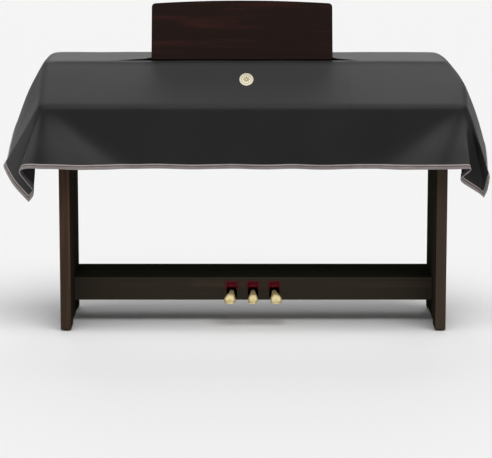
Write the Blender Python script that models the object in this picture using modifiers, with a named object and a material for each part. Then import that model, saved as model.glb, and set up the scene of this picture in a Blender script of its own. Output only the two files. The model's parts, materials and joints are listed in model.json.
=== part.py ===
"""A keyboard dust cover draped over a console digital piano.

Units are metres, +Z is up, the front of the piano faces -Y and its right-hand end is +X as the
player sees it. The origin is on the floor, under the middle of everything; the cover hangs out
further on the left, so the piano itself stands a little to the right of it.

The cover is one rectangle of cloth with a slit for the music rest. Its flat shape is laid over the
case as a back strip, a slope and four flaps; at each corner the spare cloth swings out and folds
back on itself along rays that leave the corner, as a square corner of cloth does.
"""

from math import atan2, cos, degrees, hypot, pi, radians, sin, tan

import bmesh
import bpy
from mathutils import Matrix, Vector

# ---- driving dimensions of the piano ------------------------------------------------------------
CASE_WIDTH = 1.350
CASE_DEPTH = 0.422
CASE_BOTTOM = 0.600
CASE_TOP = 0.8625  # at the back edge
CASE_FRONT_TOP = 0.7255  # where the slope meets the front
STRIP_DEPTH = 0.190  # of the nearly level board along the back
STRIP_FALL = 0.014  # from the back edge to the ridge where the slope starts
SHOULDER_RUN = 0.100  # how far in from each end that board starts to fall away
SHOULDER_DROP = 0.070
CASE_ROUNDING = 0.012
BOARD_ROUNDING = 0.0015

PANEL_SPAN = 1.245  # over the outer faces of the two side panels
PANEL_THICK = 0.034
PANEL_FRONT = -0.200
PANEL_BACK = 0.190
FOOT_LENGTH = 0.090
FOOT_BOTTOM = 0.004
BACK_FOOT_LENGTH = 0.036
PANEL_ARCH = 0.016  # height of the panel's lower edge between its feet
GLIDE_RADIUS = 0.011
GLIDE_INSET = {"front": 0.022, "back": 0.018}  # from the panel's edge to the glide's middle

BOX_FRONT = -0.060
BOX_BACK = 0.180
BOX_BOTTOM = 0.074
BOX_TOP = 0.150
POCKET_WIDTH = 0.034
POCKET_BOTTOM = 0.081
POCKET_TOP = 0.134
POCKET_BACK = 0.060

PEDAL_PITCH = 0.0700
PEDAL_PIVOT = (0.030, 0.0985)  # y and z of the hinge axis

REST_WIDTH = 0.593
REST_CENTRE = -0.036
REST_LENGTH = 0.199
REST_ARCH = 0.009
REST_CORNER = 0.013
REST_THICK = 0.018
REST_LEAN = radians(20)
REST_Y = 0.036  # the foot of its front face
RAIL_DEPTH = 0.020  # of the low rail behind that foot
RAIL_HEIGHT = 0.016
RAIL_BACK_HEIGHT = 0.006
RAIL_INSET = 0.030  # how far it stops short of each end of the rest

GAP = 0.0003  # between pieces that touch

# ---- driving dimensions of the cloth ------------------------------------------------------------
CLOTH = 0.002
CLEARANCE = 0.002
LIFT = CLEARANCE + CLOTH / 2  # from the case to the middle of the cloth
SIDE_EDGE = CASE_WIDTH / 2 + LIFT + 0.001
BACK_EDGE = CASE_DEPTH / 2 + LIFT
FRONT_EDGE = -CASE_DEPTH / 2 - LIFT - 0.0005
TOP_Z = CASE_TOP + LIFT + 0.0005
RIDGE_Z = TOP_Z - STRIP_FALL
FRONT_Z = CASE_FRONT_TOP + LIFT + 0.001
RIDGE_Y = BACK_EDGE - STRIP_DEPTH  # where the back strip turns into the slope
FRONT_DROP = 0.197
BACK_DROP = 0.200
SIDE_DROP = 0.230
CORNER_RADIUS = 0.012
SLIT = (-0.462, 0.350)
SLIT_Y = REST_Y - 0.004
FRONT_LIP_SPREAD = 0.004  # how far the rest pushes each lip of the slit aside
BACK_LIP_SPREAD = 0.042
BACK_LIP_RISE = 0.007

BADGE_RADIUS = 0.0225
BADGE_STRETCH = 1.58  # it is an oval along the slope, which looks round from the front
BADGE_THICK = 0.0008
BADGE_X = -0.0217
BADGE_ALONG_SLOPE = 0.414

PIANO_PLACE = (0.0222, 0.0064, 0.0)  # of the piano's middle, from the middle of everything


def add_object(name, mesh, material, collection):
    """A named object in the collection, with its one material."""
    mesh.materials.clear()
    mesh.materials.append(material)
    thing = bpy.data.objects.new(name, mesh)
    collection.objects.link(thing)
    return thing


def plain_material(name, colour, roughness, metallic=0.0):
    material = bpy.data.materials.new(name)
    material.use_nodes = True
    shader = material.node_tree.nodes["Principled BSDF"]
    shader.inputs["Base Color"].default_value = (*colour, 1)
    shader.inputs["Roughness"].default_value = roughness
    shader.inputs["Metallic"].default_value = metallic
    material.diffuse_color = (*colour, 1)
    return material


def mesh_from(name, bm):
    mesh = bpy.data.meshes.new(name)
    bm.to_mesh(mesh)
    bm.free()
    return mesh


def add_bevel(thing, width, segments=2):
    bevel = thing.modifiers.new("rounded edges", "BEVEL")
    bevel.width = width
    bevel.segments = segments
    bevel.limit_method = "ANGLE"
    bevel.angle_limit = radians(30)


def box_mesh(name, low, high):
    bm = bmesh.new()
    bmesh.ops.create_cube(bm, size=1)
    size = Vector(high) - Vector(low)
    bmesh.ops.scale(bm, verts=bm.verts, vec=size)
    bmesh.ops.translate(bm, verts=bm.verts, vec=(Vector(low) + Vector(high)) / 2)
    return mesh_from(name, bm)


# ---- how the cloth lies ---------------------------------------------------------------------------
STRIP_LENGTH = hypot(STRIP_DEPTH, STRIP_FALL)
SLOPE_RUN = RIDGE_Y - FRONT_EDGE
SLOPE_FALL = RIDGE_Z - FRONT_Z
SLOPE_LENGTH = hypot(SLOPE_RUN, SLOPE_FALL)
TOP_LENGTH = STRIP_LENGTH + SLOPE_LENGTH
SLIT_ALONG = (BACK_EDGE - SLIT_Y) / STRIP_DEPTH * STRIP_LENGTH  # from the back edge

# How the cloth leaves each corner of the case. A row is one fold or one turn: the angle in the flat
# cloth from straight down the front or back flap (0) to straight down the side flap (90), then how
# far the cloth there leans out to the side and out from the flap, in degrees off plumb.
CORNER_FOLDS = {
    ("left", "front"): (
        # cloth, sideways, outward
        (-55, 0, 1.5),
        (-42, 0, 11),
        (-20, 1, 14),
        (2, 6, 13),
        (10, 12, 16.5),
        (18, 18, 15),
        (26, 20.5, 10),
        (45, 3, 3),
        (60, 20, 2),
        (72, 28, -2),
        (82, 32.2, -7),
        (90, 31, -13),
    ),
    ("right", "front"): (
        (-55, 0, 1.5),
        (-40, 0, 12),
        (-22, 0, 13),
        (-10, 0, 11),
        (2, 3, 15),
        (12, 7, 16),
        (33, -4, -0.5),
        (50, 14, -8),
        (70, 18, 7),
        (90, 18, -12),
    ),
    ("left", "back"): (
        (-55, 0, 2),
        (0, 2, 5),
        (24, 12, 12),
        (46, 0, -2),
        (66, 10, 4),
        (90, 17, 0),
    ),
    ("right", "back"): (
        (-55, 0, 2),
        (0, 2, 6),
        (22, 10, 13),
        (44, -1, -1),
        (68, 10, 4),
        (90, 15, 0),
    ),
}

# The side flaps, from the front corner (0) to the back corner (1) of the cloth's edge. Cloth is
# spare where the edge bends at the ridge, so the flap stands out furthest about there.
SIDE_FLAPS = {
    "left": (
        # along, sideways, backward, belly
        (0.00, 30.5, 12, 0.003),
        (0.25, 28.5, 8, 0.005),
        (0.50, 26.5, 3, 0.008),
        (0.75, 22.5, 0, 0.012),
        (1.00, 17, 0, 0.013),
    ),
    "right": (
        (0.00, 18.8, 12, 0.005),
        (0.25, 19.5, 7, 0.005),
        (0.50, 18.5, 2, 0.004),
        (0.75, 15, 0, 0.003),
        (1.00, 12, 0, 0.002),
    ),
}
FOLD_ROUNDING = 4  # degrees of cloth angle over which a corner fold turns
FOLD_START, FOLD_END = -0.1, 0.75  # shares of the way down where the folds begin and are full
SIGN = {"left": -1, "right": 1, "front": -1, "back": 1}


def read_table(rows, at):
    """The row's values at this place, by straight lines between rows."""
    if at <= rows[0][0]:
        return rows[0][1:]
    for low, high in zip(rows, rows[1:]):
        if at <= high[0]:
            share = (at - low[0]) / (high[0] - low[0])
            return tuple(a + (b - a) * share for a, b in zip(low[1:], high[1:]))
    return rows[-1][1:]


def smooth_table(rows, at, reach):
    """The same, averaged over a short reach, which rounds every fold."""
    taps = [read_table(rows, at + reach * offset) for offset in (-1, -0.5, 0, 0.5, 1)]
    return tuple(sum(column) / len(taps) for column in zip(*taps))


def ease(share):
    share = min(1.0, max(0.0, share))
    return share * share * (3 - 2 * share)


def hanging_direction(side, end, sideways, outward):
    """A unit vector that hangs this many degrees off plumb to the side and out from a flap."""
    lean = Vector((SIGN[side] * tan(radians(sideways)), SIGN[end] * tan(radians(outward)), -1))
    return lean.normalized()


# How the cloth rounds off over the shoulders of the case: it follows the right one and bridges most
# of the left one.
SHOULDER_FALLS = {"left": (0.030, 0.010), "right": (0.088, 0.068)}  # run and drop


def shoulder_height(x):
    run, drop = SHOULDER_FALLS["left" if x < 0 else "right"]
    return TOP_Z - drop * max(0.0, 1 - (SIDE_EDGE - abs(x)) / run) ** 2


def top_point(x, along):
    """A point of the cloth on the top: along runs from the back edge to the front edge."""
    if along < STRIP_LENGTH:
        share = along / STRIP_LENGTH
        y = BACK_EDGE - STRIP_DEPTH * share
        z = TOP_Z - STRIP_FALL * share
    else:
        share = (along - STRIP_LENGTH) / SLOPE_LENGTH
        y = RIDGE_Y - SLOPE_RUN * share
        z = RIDGE_Z - SLOPE_FALL * share
    return Vector((x, y, min(z, shoulder_height(x))))


def corner_edge_point(side, end, cloth_angle):
    """Where the ray of this cloth angle leaves the rounded corner of the top."""
    turn = radians(min(90.0, max(0.0, cloth_angle)))
    inset = CORNER_RADIUS * (1 - sin(turn))
    x = SIGN[side] * (SIDE_EDGE - inset)
    along_inset = CORNER_RADIUS * (1 - cos(turn))
    along = along_inset if end == "back" else TOP_LENGTH - along_inset
    return top_point(x, along)


def fold_lean(side, end, cloth_angle, share):
    """How far the cloth leans on this ray: a plain cone at the corner, folds at the hem."""
    rows = CORNER_FOLDS[side, end]
    folded = smooth_table(rows, cloth_angle, FOLD_ROUNDING)
    turned = ease((cloth_angle - rows[0][0]) / (rows[-1][0] - rows[0][0]))
    opened = ease((share - FOLD_START) / (FOLD_END - FOLD_START))
    plain = (a + (b - a) * turned for a, b in zip(rows[0][1:], rows[-1][1:]))
    return tuple(a + (b - a) * opened for a, b in zip(plain, folded))


def corner_point(side, end, cloth_angle, reach, length):
    """A point of the folded corner: reach is its distance from the corner in the flat cloth."""
    lean = fold_lean(side, end, cloth_angle, reach / length)
    start = corner_edge_point(side, end, cloth_angle)
    if cloth_angle < 0:
        start = corner_edge_point(side, end, 0)
    belly = 0.0
    if cloth_angle > 45:
        belly_row = SIDE_FLAPS[side][0 if end == "front" else -1][3]
        belly = belly_row * ease((cloth_angle - 45) / 45)
    point = start + reach * hanging_direction(side, end, *lean)
    return point + belly_offset(side, lean[0], belly, reach / length)


def belly_offset(side, sideways, belly, share):
    """How far a flap bulges off its straight line, part of the way down it."""
    outward = Vector((SIGN[side] * cos(radians(sideways)), 0, sin(radians(sideways))))
    return outward * belly * 4 * share * (1 - share)


def flap_point(end, x, reach, length):
    """A point of the front or back flap, straight down from x on the top's edge."""
    side = "left" if x < 0 else "right"
    across = SIDE_EDGE - CORNER_RADIUS - abs(x)
    cloth_angle = -degrees(atan2(across, reach)) if reach > 0 else -90.0
    share = reach / length
    first = CORNER_FOLDS[side, end][0][0]
    sideways, outward = fold_lean(side, end, max(first, cloth_angle), share)
    hanging = top_point(x, 0 if end == "back" else TOP_LENGTH)
    if end == "back":
        hanging.z = back_hang_height(side, across, share)
    calm = ease((first - cloth_angle) / 15)  # the ripple dies out near the corner folds
    ripple = 0.0025 * sin(x * 9.0) + 0.0015 * sin(x * 23.0 + 1.0)
    hanging += hanging_direction(side, end, 0, outward) * reach
    hanging.x += SIGN[side] * sin(radians(sideways)) * reach
    hanging.y += SIGN[end] * ripple * calm * ease(share)
    return hanging


def back_hang_height(side, across, share):
    """The height the back flap hangs from: a shoulder's drop spreads along it on the way down."""
    run = SHOULDER_FALLS[side][0]
    corner_height = shoulder_height(SIGN[side] * (SIDE_EDGE - CORNER_RADIUS))
    spread = min(1.0, across / (run - CORNER_RADIUS + 1.2 * BACK_DROP * share))
    sharp = shoulder_height(SIGN[side] * (SIDE_EDGE - CORNER_RADIUS - across))
    soft = corner_height + (TOP_Z - corner_height) * (1 - (1 - spread) ** 2)
    return sharp + (soft - sharp) * ease(2 * share)


def side_point(side, share, reach):
    """A point of a side flap: share runs from the front corner to the back corner."""
    sideways, backward, belly = smooth_table(SIDE_FLAPS[side], share, 0.06)
    run = TOP_LENGTH - 2 * CORNER_RADIUS
    along = TOP_LENGTH - CORNER_RADIUS - run * share
    edge = top_point(SIGN[side] * SIDE_EDGE, along)
    direction = hanging_direction(side, "back", sideways, backward)
    return edge + direction * reach + belly_offset(side, sideways, belly, reach / SIDE_DROP)


# ---- the cover ----------------------------------------------------------------------------------
def slit_opening(x):
    """How far the slit is spread here by the music rest, from 0 at its ends to 1."""
    left_end = REST_CENTRE - REST_WIDTH / 2
    right_end = REST_CENTRE + REST_WIDTH / 2
    left = ease((x - SLIT[0]) / (left_end - SLIT[0]))
    right = ease((SLIT[1] - x) / (SLIT[1] - right_end))
    return (left * right) ** 2


def spread_top_point(x, along, lip):
    """A point of the top, with the slit's front or back lip drawn aside."""
    point = top_point(x, along)
    spread = slit_opening(x)
    if lip == "front":
        point.y -= FRONT_LIP_SPREAD * spread * ease(1 - (along - SLIT_ALONG) / 0.03)
    else:
        near = along / SLIT_ALONG
        point.y += BACK_LIP_SPREAD * spread * near
        point.z += (BACK_LIP_RISE + STRIP_FALL * BACK_LIP_SPREAD / STRIP_DEPTH) * spread * near**3
    return point


def spaced(low, high, count):
    return [low + (high - low) * i / count for i in range(count + 1)]


def top_columns():
    """Where the cloth is divided across, with a line at each end of the slit and of the rest."""
    inner = SIDE_EDGE - CORNER_RADIUS
    rest_left = REST_CENTRE - REST_WIDTH / 2
    rest_right = REST_CENTRE + REST_WIDTH / 2
    left_shoulder = -SIDE_EDGE + SHOULDER_FALLS["left"][0]
    right_shoulder = SIDE_EDGE - SHOULDER_FALLS["right"][0]
    columns = spaced(-inner, left_shoulder, 1)
    columns += spaced(left_shoulder, SLIT[0], 5)[1:]
    columns += spaced(SLIT[0], rest_left, 3)[1:]
    columns += spaced(rest_left, rest_right, 9)[1:]
    columns += spaced(rest_right, SLIT[1], 3)[1:]
    columns += spaced(SLIT[1], right_shoulder, 6)[1:]
    columns += spaced(right_shoulder, inner, 4)[1:]
    return columns


def top_rows():
    """Where it is divided from back to front, with a line at the slit and round the ridge."""
    rows = [0, CORNER_RADIUS, 0.05, 0.10, 0.15, SLIT_ALONG, STRIP_LENGTH]
    rows += spaced(STRIP_LENGTH + 0.02, TOP_LENGTH - CORNER_RADIUS, 8)
    return rows + [TOP_LENGTH]


def corner_angles(side, end):
    """The rays of a corner: an even fan, with one on the corner of the cloth itself."""
    drop = FRONT_DROP if end == "front" else BACK_DROP
    tip = degrees(atan2(SIDE_DROP, drop))
    fan = [6.0 * i for i in range(1, 15)]
    return sorted([angle for angle in fan if abs(angle - tip) > 2] + [tip])


RINGS = (0.05, 0.13, 0.26, 0.40, 0.55, 0.70, 0.84, 0.93, 1.0)


def corner_length(end, cloth_angle):
    drop = FRONT_DROP if end == "front" else BACK_DROP
    turn = radians(cloth_angle)
    down = drop / cos(turn) if cloth_angle < 89 else 9.0
    across = SIDE_DROP / sin(turn) if cloth_angle > 1 else 9.0
    return min(down, across)


def cover_sheet():
    """The cloth's middle surface as one open mesh: the top first, then rings down to the hem."""
    bm = bmesh.new()
    columns = top_columns()
    rows = top_rows()
    slit_row = rows.index(SLIT_ALONG)
    inside_slit = [SLIT[0] < x < SLIT[1] for x in columns]
    back_part = {}
    front_part = {}
    for i, x in enumerate(columns):
        for j, along in enumerate(rows):
            if j <= slit_row:
                back_part[i, j] = bm.verts.new(spread_top_point(x, along, "back"))
            if j > slit_row or (j == slit_row and inside_slit[i]):
                front_part[i, j] = bm.verts.new(spread_top_point(x, along, "front"))
            elif j == slit_row:
                front_part[i, j] = back_part[i, j]
    for i in range(len(columns) - 1):
        for j in range(len(rows) - 1):
            part = back_part if j < slit_row else front_part
            bm.faces.new((part[i, j], part[i, j + 1], part[i + 1, j + 1], part[i + 1, j]))

    def inner(i, j):
        return back_part[i, j] if j <= slit_row else front_part[i, j]

    last_column = len(columns) - 1
    last_row = len(rows) - 1
    edge_run = TOP_LENGTH - 2 * CORNER_RADIUS
    rim = []  # (vertex, how a point hangs below it, length of its ray)

    def add_flap(end, indices, row):
        drop = FRONT_DROP if end == "front" else BACK_DROP
        for i in indices:
            x = columns[i]
            rim.append((inner(i, row), lambda r, x=x, d=drop: flap_point(end, x, r, d), drop))

    def add_side(side, column, row_indices):
        strip = []
        for j in row_indices:
            share = (TOP_LENGTH - CORNER_RADIUS - rows[j]) / edge_run
            edge = bm.verts.new(side_point(side, share, 0))
            rim.append((edge, lambda r, s=share: side_point(side, s, r), SIDE_DROP))
            strip.append((inner(column, j), edge))
        return strip

    def add_corner(side, end, column, row, backwards):
        angles = corner_angles(side, end)
        arc = []
        for angle in reversed(angles) if backwards else angles:
            length = corner_length(end, angle)
            edge = bm.verts.new(corner_edge_point(side, end, angle))
            rim.append(
                (edge, lambda r, a=angle, n=length: corner_point(side, end, a, r, n), length)
            )
            arc.append(edge)
        return inner(column, row), arc

    side_rows = range(1, last_row)
    add_flap("front", range(last_column + 1), last_row)
    right_front = add_corner("right", "front", last_column, last_row - 1, False)
    right_strip = add_side("right", last_column, reversed(side_rows))
    right_back = add_corner("right", "back", last_column, 1, True)
    add_flap("back", reversed(range(last_column + 1)), 0)
    left_back = add_corner("left", "back", 0, 1, False)
    left_strip = add_side("left", 0, side_rows)
    left_front = add_corner("left", "front", 0, last_row - 1, True)

    for strip in (right_strip, left_strip):
        for (a, b), (c, d) in zip(strip, strip[1:]):
            bm.faces.new((a, b, d, c))
    rim_verts = [entry[0] for entry in rim]
    for centre, arc in (right_front, right_back, left_back, left_front):
        first = rim_verts.index(arc[0])
        last = rim_verts.index(arc[-1])
        fan = [rim_verts[first - 1], *arc, rim_verts[(last + 1) % len(rim_verts)]]
        for a, b in zip(fan, fan[1:]):
            bm.faces.new((centre, a, b))

    upper = rim_verts
    for share in RINGS:
        lower = [bm.verts.new(hang(share * length)) for _, hang, length in rim]
        for k in range(len(rim)):
            n = (k + 1) % len(rim)
            bm.faces.new((upper[k], lower[k], lower[n], upper[n]))
        upper = lower
    bmesh.ops.recalc_face_normals(bm, faces=bm.faces)
    return mesh_from("dust_cover", bm)


def make_cover(collection):
    grey = plain_material("charcoal cloth", (0.045, 0.046, 0.048), 0.75)
    cover = add_object("dust_cover", cover_sheet(), grey, collection)
    cover.data.shade_smooth()
    thickness = cover.modifiers.new("cloth thickness", "SOLIDIFY")
    thickness.thickness = CLOTH
    thickness.offset = 0
    return cover


def make_badge(collection):
    """The oval patch sewn on the slope."""
    gold = plain_material("pale gold thread", (0.78, 0.66, 0.36), 0.45)
    bm = bmesh.new()
    bmesh.ops.create_cone(
        bm, cap_ends=True, segments=48, radius1=BADGE_RADIUS, radius2=BADGE_RADIUS, depth=BADGE_THICK
    )
    bmesh.ops.scale(bm, vec=(1, BADGE_STRETCH, 1), verts=bm.verts)
    along = STRIP_LENGTH + SLOPE_LENGTH * BADGE_ALONG_SLOPE
    slope = atan2(SLOPE_FALL, SLOPE_RUN)
    normal = Vector((0, -sin(slope), cos(slope)))
    place = top_point(BADGE_X, along) + normal * (CLOTH / 2 + GAP + BADGE_THICK / 2)
    badge = add_object("badge", mesh_from("badge", bm), gold, collection)
    badge.location = place
    badge.rotation_euler = (slope, 0, 0)
    return badge


# ---- the piano that holds it --------------------------------------------------------------------
def case_height(y):
    """The top of the case's back strip at this depth."""
    return CASE_TOP - STRIP_FALL * (CASE_DEPTH / 2 - y) / STRIP_DEPTH


def make_case(collection, wood):
    """A block cut along its back strip and slope, and along a falling shoulder at each end."""
    bm = bmesh.new()
    bmesh.ops.create_cube(bm, size=1)
    height = CASE_TOP - CASE_BOTTOM
    bmesh.ops.scale(bm, verts=bm.verts, vec=(CASE_WIDTH, CASE_DEPTH, height))
    bmesh.ops.translate(bm, verts=bm.verts, vec=(0, 0, CASE_BOTTOM + height / 2))
    back = Vector((0, CASE_DEPTH / 2, CASE_TOP))
    ridge = Vector((0, CASE_DEPTH / 2 - STRIP_DEPTH, CASE_TOP - STRIP_FALL))
    front = Vector((0, -CASE_DEPTH / 2, CASE_FRONT_TOP))
    for low, high in ((front, ridge), (ridge, back)):
        cut_and_close(bm, high, Vector((1, 0, 0)).cross(high - low))
    for sign in (-1, 1):
        start = Vector((sign * (CASE_WIDTH / 2 - SHOULDER_RUN), 0, CASE_TOP))
        fall = Vector((sign * SHOULDER_DROP, 0, SHOULDER_RUN))
        cut_and_close(bm, start, fall)
    case = add_object("case", mesh_from("case", bm), wood, collection)
    add_bevel(case, CASE_ROUNDING, 4)
    return case


def cut_and_close(bm, point, normal):
    """Cuts away what lies beyond the plane and closes the cut."""
    geometry = bm.verts[:] + bm.edges[:] + bm.faces[:]
    result = bmesh.ops.bisect_plane(
        bm, geom=geometry, dist=1e-6, plane_co=point, plane_no=normal, clear_outer=True
    )
    cut = [item for item in result["geom_cut"] if isinstance(item, bmesh.types.BMEdge)]
    bmesh.ops.contextual_create(bm, geom=cut)
    bmesh.ops.recalc_face_normals(bm, faces=bm.faces)


def outline_board(name, outline, thickness, collection, material):
    """A flat board from its outline, as a mesh whose caps are welded to its sides."""
    curve = bpy.data.curves.new(name, "CURVE")
    curve.dimensions = "2D"
    curve.fill_mode = "BOTH"
    curve.extrude = thickness / 2
    spline = curve.splines.new("POLY")
    spline.points.add(len(outline) - 1)
    for point, (x, y) in zip(spline.points, outline):
        point.co = (x, y, 0, 1)
    spline.use_cyclic_u = True
    drawn = bpy.data.objects.new(name + " outline", curve)
    collection.objects.link(drawn)
    bpy.context.view_layer.update()
    graph = bpy.context.evaluated_depsgraph_get()
    mesh = bpy.data.meshes.new_from_object(drawn.evaluated_get(graph))
    bpy.data.objects.remove(drawn)
    bm = bmesh.new()
    bm.from_mesh(mesh)
    bpy.data.meshes.remove(mesh)
    bmesh.ops.remove_doubles(bm, verts=bm.verts, dist=1e-5)
    bmesh.ops.recalc_face_normals(bm, faces=bm.faces)
    return add_object(name, mesh_from(name, bm), material, collection)


def make_side_panels(collection, wood):
    """Two upright boards on short feet, with a glide under each foot."""
    rubber = plain_material("grey glide", (0.05, 0.05, 0.05), 0.6)
    top = CASE_BOTTOM - GAP
    outline = (
        (PANEL_FRONT, FOOT_BOTTOM),
        (PANEL_FRONT + FOOT_LENGTH, FOOT_BOTTOM),
        (PANEL_FRONT + FOOT_LENGTH, PANEL_ARCH),
        (PANEL_BACK - BACK_FOOT_LENGTH, PANEL_ARCH),
        (PANEL_BACK - BACK_FOOT_LENGTH, FOOT_BOTTOM),
        (PANEL_BACK, FOOT_BOTTOM),
        (PANEL_BACK, top),
        (PANEL_FRONT, top),
    )
    feet = {"front": PANEL_FRONT + GLIDE_INSET["front"], "back": PANEL_BACK - GLIDE_INSET["back"]}
    for side in ("left", "right"):
        name = f"side_panel_{side}"
        centre = SIGN[side] * (PANEL_SPAN - PANEL_THICK) / 2
        board = outline_board(name, outline, PANEL_THICK, collection, wood)
        # the outline's x runs back along the piano and its y up
        board.matrix_world = Matrix(
            ((0, 0, 1, centre), (1, 0, 0, 0), (0, 1, 0, 0), (0, 0, 0, 1))
        )
        add_bevel(board, BOARD_ROUNDING)
        for end, y in feet.items():
            bm = bmesh.new()
            height = FOOT_BOTTOM - GAP
            bmesh.ops.create_cone(
                bm,
                cap_ends=True,
                segments=24,
                radius1=GLIDE_RADIUS,
                radius2=GLIDE_RADIUS,
                depth=height,
            )
            glide_name = f"glide_{side}_{end}"
            glide = add_object(glide_name, mesh_from(glide_name, bm), rubber, collection)
            glide.location = (centre, y, height / 2)


def make_pedal_box(collection, cutters, wood):
    """The long box between the side panels, with a pocket for each pedal."""
    half = PANEL_SPAN / 2 - PANEL_THICK - GAP
    low = (-half, BOX_FRONT, BOX_BOTTOM)
    high = (half, BOX_BACK, BOX_TOP)
    box = add_object("pedal_box", box_mesh("pedal_box", low, high), wood, collection)
    add_bevel(box, BOARD_ROUNDING)
    for k in (-1, 0, 1):
        centre = k * PEDAL_PITCH
        pocket_low = (centre - POCKET_WIDTH / 2, BOX_FRONT - 0.02, POCKET_BOTTOM)
        pocket_high = (centre + POCKET_WIDTH / 2, POCKET_BACK, POCKET_TOP)
        name = f"pocket cutter {k + 2}"
        cutter = bpy.data.objects.new(name, box_mesh(name, pocket_low, pocket_high))
        cutters.objects.link(cutter)
        cutter.hide_render = True
        cutter.display_type = "WIRE"
        cut = box.modifiers.new(name, "BOOLEAN")
        cut.object = cutter
        cut.operation = "DIFFERENCE"


# A pedal from its hinge to its tip: how far along, half its width, and its lower and upper face,
# all from the hinge axis.
PEDAL_SECTIONS = (
    # along, half width, lower, upper
    (-0.012, 0.0080, -0.0065, 0.0065),
    (0.045, 0.0080, -0.0065, 0.0065),
    (0.092, 0.0080, -0.0070, 0.0065),
    (0.106, 0.0090, -0.0095, 0.0062),
    (0.120, 0.0118, -0.0135, 0.0038),
    (0.133, 0.0150, -0.0175, -0.0002),
    (0.146, 0.0168, -0.0202, -0.0050),
    (0.158, 0.0168, -0.0216, -0.0098),
    (0.168, 0.0142, -0.0218, -0.0142),
    (0.174, 0.0085, -0.0208, -0.0172),
)
PEDAL_SPLAY = 0.0055  # how far the head of an outer pedal turns outward
OUTER_HEAD_SPREAD = 0.15  # and how much wider it is than the middle one's
HEAD_RUN = (0.100, 0.040)  # where both start along the pedal, and over what length


def make_pedals(collection):
    """Brass levers, lofted through their sections, each with its origin on its hinge."""
    brass = plain_material("brass", (0.72, 0.58, 0.28), 0.28, 1.0)
    names = {-1: "pedal_left", 0: "pedal_middle", 1: "pedal_right"}
    sides = 16
    for k, name in names.items():
        bm = bmesh.new()
        loops = []
        for along, half_width, lower, upper in PEDAL_SECTIONS:
            centre_z = (lower + upper) / 2
            half_height = (upper - lower) / 2
            turned = k * ease((along - HEAD_RUN[0]) / HEAD_RUN[1])
            aside = PEDAL_SPLAY * turned
            half_width *= 1 + OUTER_HEAD_SPREAD * abs(turned)
            loop = []
            for s in range(sides):
                turn = 2 * pi * s / sides
                # a rounded square: wider at its shoulders than an ellipse
                across = abs(cos(turn)) ** 0.65 * (1 if cos(turn) > 0 else -1)
                up = abs(sin(turn)) ** 0.65 * (1 if sin(turn) > 0 else -1)
                point = (aside + half_width * across, -along, centre_z + half_height * up)
                loop.append(bm.verts.new(point))
            loops.append(loop)
        for first, second in zip(loops, loops[1:]):
            for s in range(sides):
                n = (s + 1) % sides
                bm.faces.new((first[s], first[n], second[n], second[s]))
        bm.faces.new(loops[0])
        bm.faces.new(loops[-1])
        bmesh.ops.recalc_face_normals(bm, faces=bm.faces)
        mesh = mesh_from(name, bm)
        mesh.shade_smooth()
        mesh.set_sharp_from_angle(angle=radians(50))
        pedal = add_object(name, mesh, brass, collection)
        pedal.location = (k * PEDAL_PITCH, *PEDAL_PIVOT)


def make_music_rest(collection, wood):
    """The leaning panel, arched along its top, and the low rail behind its foot."""
    half = REST_WIDTH / 2
    shoulder = REST_LENGTH - REST_ARCH
    outline = [(half, 0), (half, shoulder - REST_CORNER)]
    for step in range(1, 5):
        turn = radians(90 * step / 5)
        x = half - REST_CORNER * (1 - cos(turn))
        outline.append((x, shoulder - REST_CORNER * (1 - sin(turn))))
    arch_half = half - REST_CORNER
    for step in range(13):
        x = arch_half * (1 - step / 6)
        outline.append((x, REST_LENGTH - REST_ARCH * (x / arch_half) ** 2))
    outline += [(-x, y) for x, y in reversed(outline[:6])]
    rest = outline_board("music_rest", outline, REST_THICK, collection, wood)
    along = Vector((1, 0, 0))
    up = Vector((0, sin(REST_LEAN), cos(REST_LEAN)))
    back = Vector((0, cos(REST_LEAN), -sin(REST_LEAN)))
    # its lower back edge is the lowest, and stands just clear of the case
    heel_y = REST_Y + REST_THICK * cos(REST_LEAN)
    foot = Vector((REST_CENTRE, REST_Y, case_height(heel_y) + GAP + REST_THICK * sin(REST_LEAN)))
    middle = foot + back * (REST_THICK / 2)
    rest.matrix_world = Matrix.LocRotScale(
        middle, Matrix((along, up, -back)).transposed().to_quaternion(), None
    )
    add_bevel(rest, BOARD_ROUNDING)

    rail_front = heel_y + 2 * GAP
    rail_back = rail_front + RAIL_DEPTH
    rail_outline = (
        (rail_front, case_height(rail_front) + GAP),
        (rail_back, case_height(rail_back) + GAP),
        (rail_back, case_height(rail_back) + RAIL_BACK_HEIGHT),
        (rail_front + RAIL_HEIGHT * tan(REST_LEAN), case_height(rail_front) + RAIL_HEIGHT),
    )
    rail_width = REST_WIDTH - 2 * RAIL_INSET
    rail = outline_board("rest_rail", rail_outline, rail_width, collection, wood)
    rail.matrix_world = Matrix(
        ((0, 0, 1, REST_CENTRE), (1, 0, 0, 0), (0, 1, 0, 0), (0, 0, 0, 1))
    )


def main():
    for thing in list(bpy.data.objects):
        bpy.data.objects.remove(thing)
    parts = bpy.data.collections.new("keyboard dust cover")
    cutters = bpy.data.collections.new("cutters")
    bpy.context.scene.collection.children.link(parts)
    bpy.context.scene.collection.children.link(cutters)
    wood = plain_material("dark stained wood", (0.035, 0.022, 0.017), 0.4)
    make_cover(parts)
    make_badge(parts)
    make_case(parts, wood)
    make_side_panels(parts, wood)
    make_pedal_box(parts, cutters, wood)
    make_pedals(parts)
    make_music_rest(parts, wood)
    for thing in (*parts.objects, *cutters.objects):
        thing.location += Vector(PIANO_PLACE)


main()
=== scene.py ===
# %% [markdown]
# # A dust cover over a console digital piano
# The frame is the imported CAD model: its case, side panels, pedal box, pedals and music rest, each
# in its true place in metres. This notebook dresses it: a draped, hemmed cloth, a sewn badge,
# stained wood, brass pedals and felt. It starts from an empty scene, then loads that frame.

import json
from bisect import bisect
from math import atan2, ceil, cos, degrees, hypot, pi, radians, sin, tan

import bmesh
import bpy
from mathutils import Matrix, Vector, noise

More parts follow.
